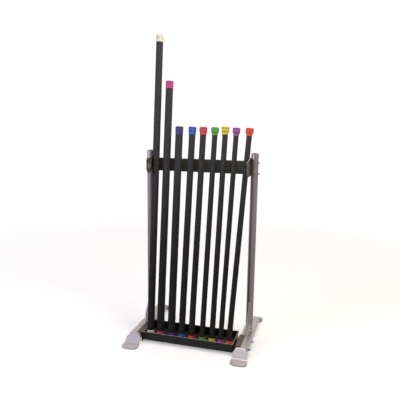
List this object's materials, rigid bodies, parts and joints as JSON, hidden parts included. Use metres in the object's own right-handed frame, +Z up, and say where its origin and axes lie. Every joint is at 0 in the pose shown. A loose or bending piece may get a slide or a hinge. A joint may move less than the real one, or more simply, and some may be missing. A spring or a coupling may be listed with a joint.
{
  "type": "weighted exercise bar rack",
  "caption": "Floor rack with a black tray and leaning rail between silver side frames, holding padded weighted bars with coloured rubber end caps.",
  "frame": {"origin": "on the floor at the middle of the footprint, between the four feet", "axes": "+Z up, the front of the rack and its tray towards -Y, +X to the right seen from the front"},
  "size_m": [0.7202, 0.636, 1.7497],
  "materials": {
    "silver_paint": "satin metallic powder coat",
    "black_paint": "satin black powder coat",
    "bright_zinc": "bright plated",
    "upright_plug": "glossy dome",
    "foam_black": "matt moulded foam rubber",
    "core_steel": "bare steel",
    "cap_cream": "ribbed coloured rubber",
    "cap_magenta": "ribbed coloured rubber",
    "cap_indigo": "ribbed coloured rubber",
    "cap_blue": "ribbed coloured rubber",
    "cap_red": "ribbed coloured rubber",
    "cap_green": "ribbed coloured rubber",
    "cap_yellow": "ribbed coloured rubber",
    "cap_orchid": "ribbed coloured rubber",
    "cap_orange": "ribbed coloured rubber"
  },
  "bodies": {
    "rack": {"base_tube_left": "silver_paint", "front_foot_left": "silver_paint", "rear_foot_left": "silver_paint", "upright_left": "silver_paint", "upright_cap_left": "upright_plug", "gusset_left": "silver_paint", "tray_bracket_left": "black_paint", "rail_bolt_left_lower": "bright_zinc", "rail_bolt_left_upper": "bright_zinc", "tray_bolt_left_front": "bright_zinc", "tray_bolt_left_rear": "bright_zinc", "base_tube_right": "silver_paint", "front_foot_right": "silver_paint", "rear_foot_right": "silver_paint", "upright_right": "silver_paint", "upright_cap_right": "upright_plug", "gusset_right": "silver_paint", "tray_bracket_right": "black_paint", "rail_bolt_right_lower": "bright_zinc", "rail_bolt_right_upper": "bright_zinc", "tray_bolt_right_front": "bright_zinc", "tray_bolt_right_rear": "bright_zinc", "leaning_rail": "black_paint", "tray": "black_paint"},
    "cream_bar": {"cream_bar_bottom_cap": "cap_cream", "cream_bar_top_cap": "cap_cream", "cream_bar_sleeve": "foam_black", "cream_bar_core": "core_steel"},
    "magenta_bar": {"magenta_bar_bottom_cap": "cap_magenta", "magenta_bar_top_cap": "cap_magenta", "magenta_bar_sleeve": "foam_black", "magenta_bar_core": "core_steel"},
    "indigo_bar": {"indigo_bar_bottom_cap": "cap_indigo", "indigo_bar_top_cap": "cap_indigo", "indigo_bar_sleeve": "foam_black", "indigo_bar_core": "core_steel"},
    "blue_bar": {"blue_bar_bottom_cap": "cap_blue", "blue_bar_top_cap": "cap_blue", "blue_bar_sleeve": "foam_black", "blue_bar_core": "core_steel"},
    "red_bar": {"red_bar_bottom_cap": "cap_red", "red_bar_top_cap": "cap_red", "red_bar_sleeve": "foam_black", "red_bar_core": "core_steel"},
    "green_bar": {"green_bar_bottom_cap": "cap_green", "green_bar_top_cap": "cap_green", "green_bar_sleeve": "foam_black", "green_bar_core": "core_steel"},
    "yellow_bar": {"yellow_bar_bottom_cap": "cap_yellow", "yellow_bar_top_cap": "cap_yellow", "yellow_bar_sleeve": "foam_black", "yellow_bar_core": "core_steel"},
    "orchid_bar": {"orchid_bar_bottom_cap": "cap_orchid", "orchid_bar_top_cap": "cap_orchid", "orchid_bar_sleeve": "foam_black", "orchid_bar_core": "core_steel"},
    "orange_bar": {"orange_bar_bottom_cap": "cap_orange", "orange_bar_top_cap": "cap_orange", "orange_bar_sleeve": "foam_black", "orange_bar_core": "core_steel"}
  },
  "joints": [
    {"name": "cream_bar_lift", "type": "slide", "parent": "rack", "child": "cream_bar", "axis": [-0.0362, 0.1816, 0.9827], "range_m": [0, 0.12]},
    {"name": "magenta_bar_lift", "type": "slide", "parent": "rack", "child": "magenta_bar", "axis": [-0.0283, 0.1803, 0.9832], "range_m": [0, 0.12]},
    {"name": "indigo_bar_lift", "type": "slide", "parent": "rack", "child": "indigo_bar", "axis": [-0.025, 0.1803, 0.9833], "range_m": [0, 0.12]},
    {"name": "blue_bar_lift", "type": "slide", "parent": "rack", "child": "blue_bar", "axis": [-0.0121, 0.1835, 0.9829], "range_m": [0, 0.12]},
    {"name": "red_bar_lift", "type": "slide", "parent": "rack", "child": "red_bar", "axis": [-0.0066, 0.1847, 0.9828], "range_m": [0, 0.12]},
    {"name": "green_bar_lift", "type": "slide", "parent": "rack", "child": "green_bar", "axis": [-0.0022, 0.1866, 0.9824], "range_m": [0, 0.12]},
    {"name": "yellow_bar_lift", "type": "slide", "parent": "rack", "child": "yellow_bar", "axis": [0.0005, 0.1863, 0.9825], "range_m": [0, 0.12]},
    {"name": "orchid_bar_lift", "type": "slide", "parent": "rack", "child": "orchid_bar", "axis": [0.0115, 0.1883, 0.982], "range_m": [0, 0.12]},
    {"name": "orange_bar_lift", "type": "slide", "parent": "rack", "child": "orange_bar", "axis": [0.0347, 0.1865, 0.9818], "range_m": [0, 0.12]}
  ]
}
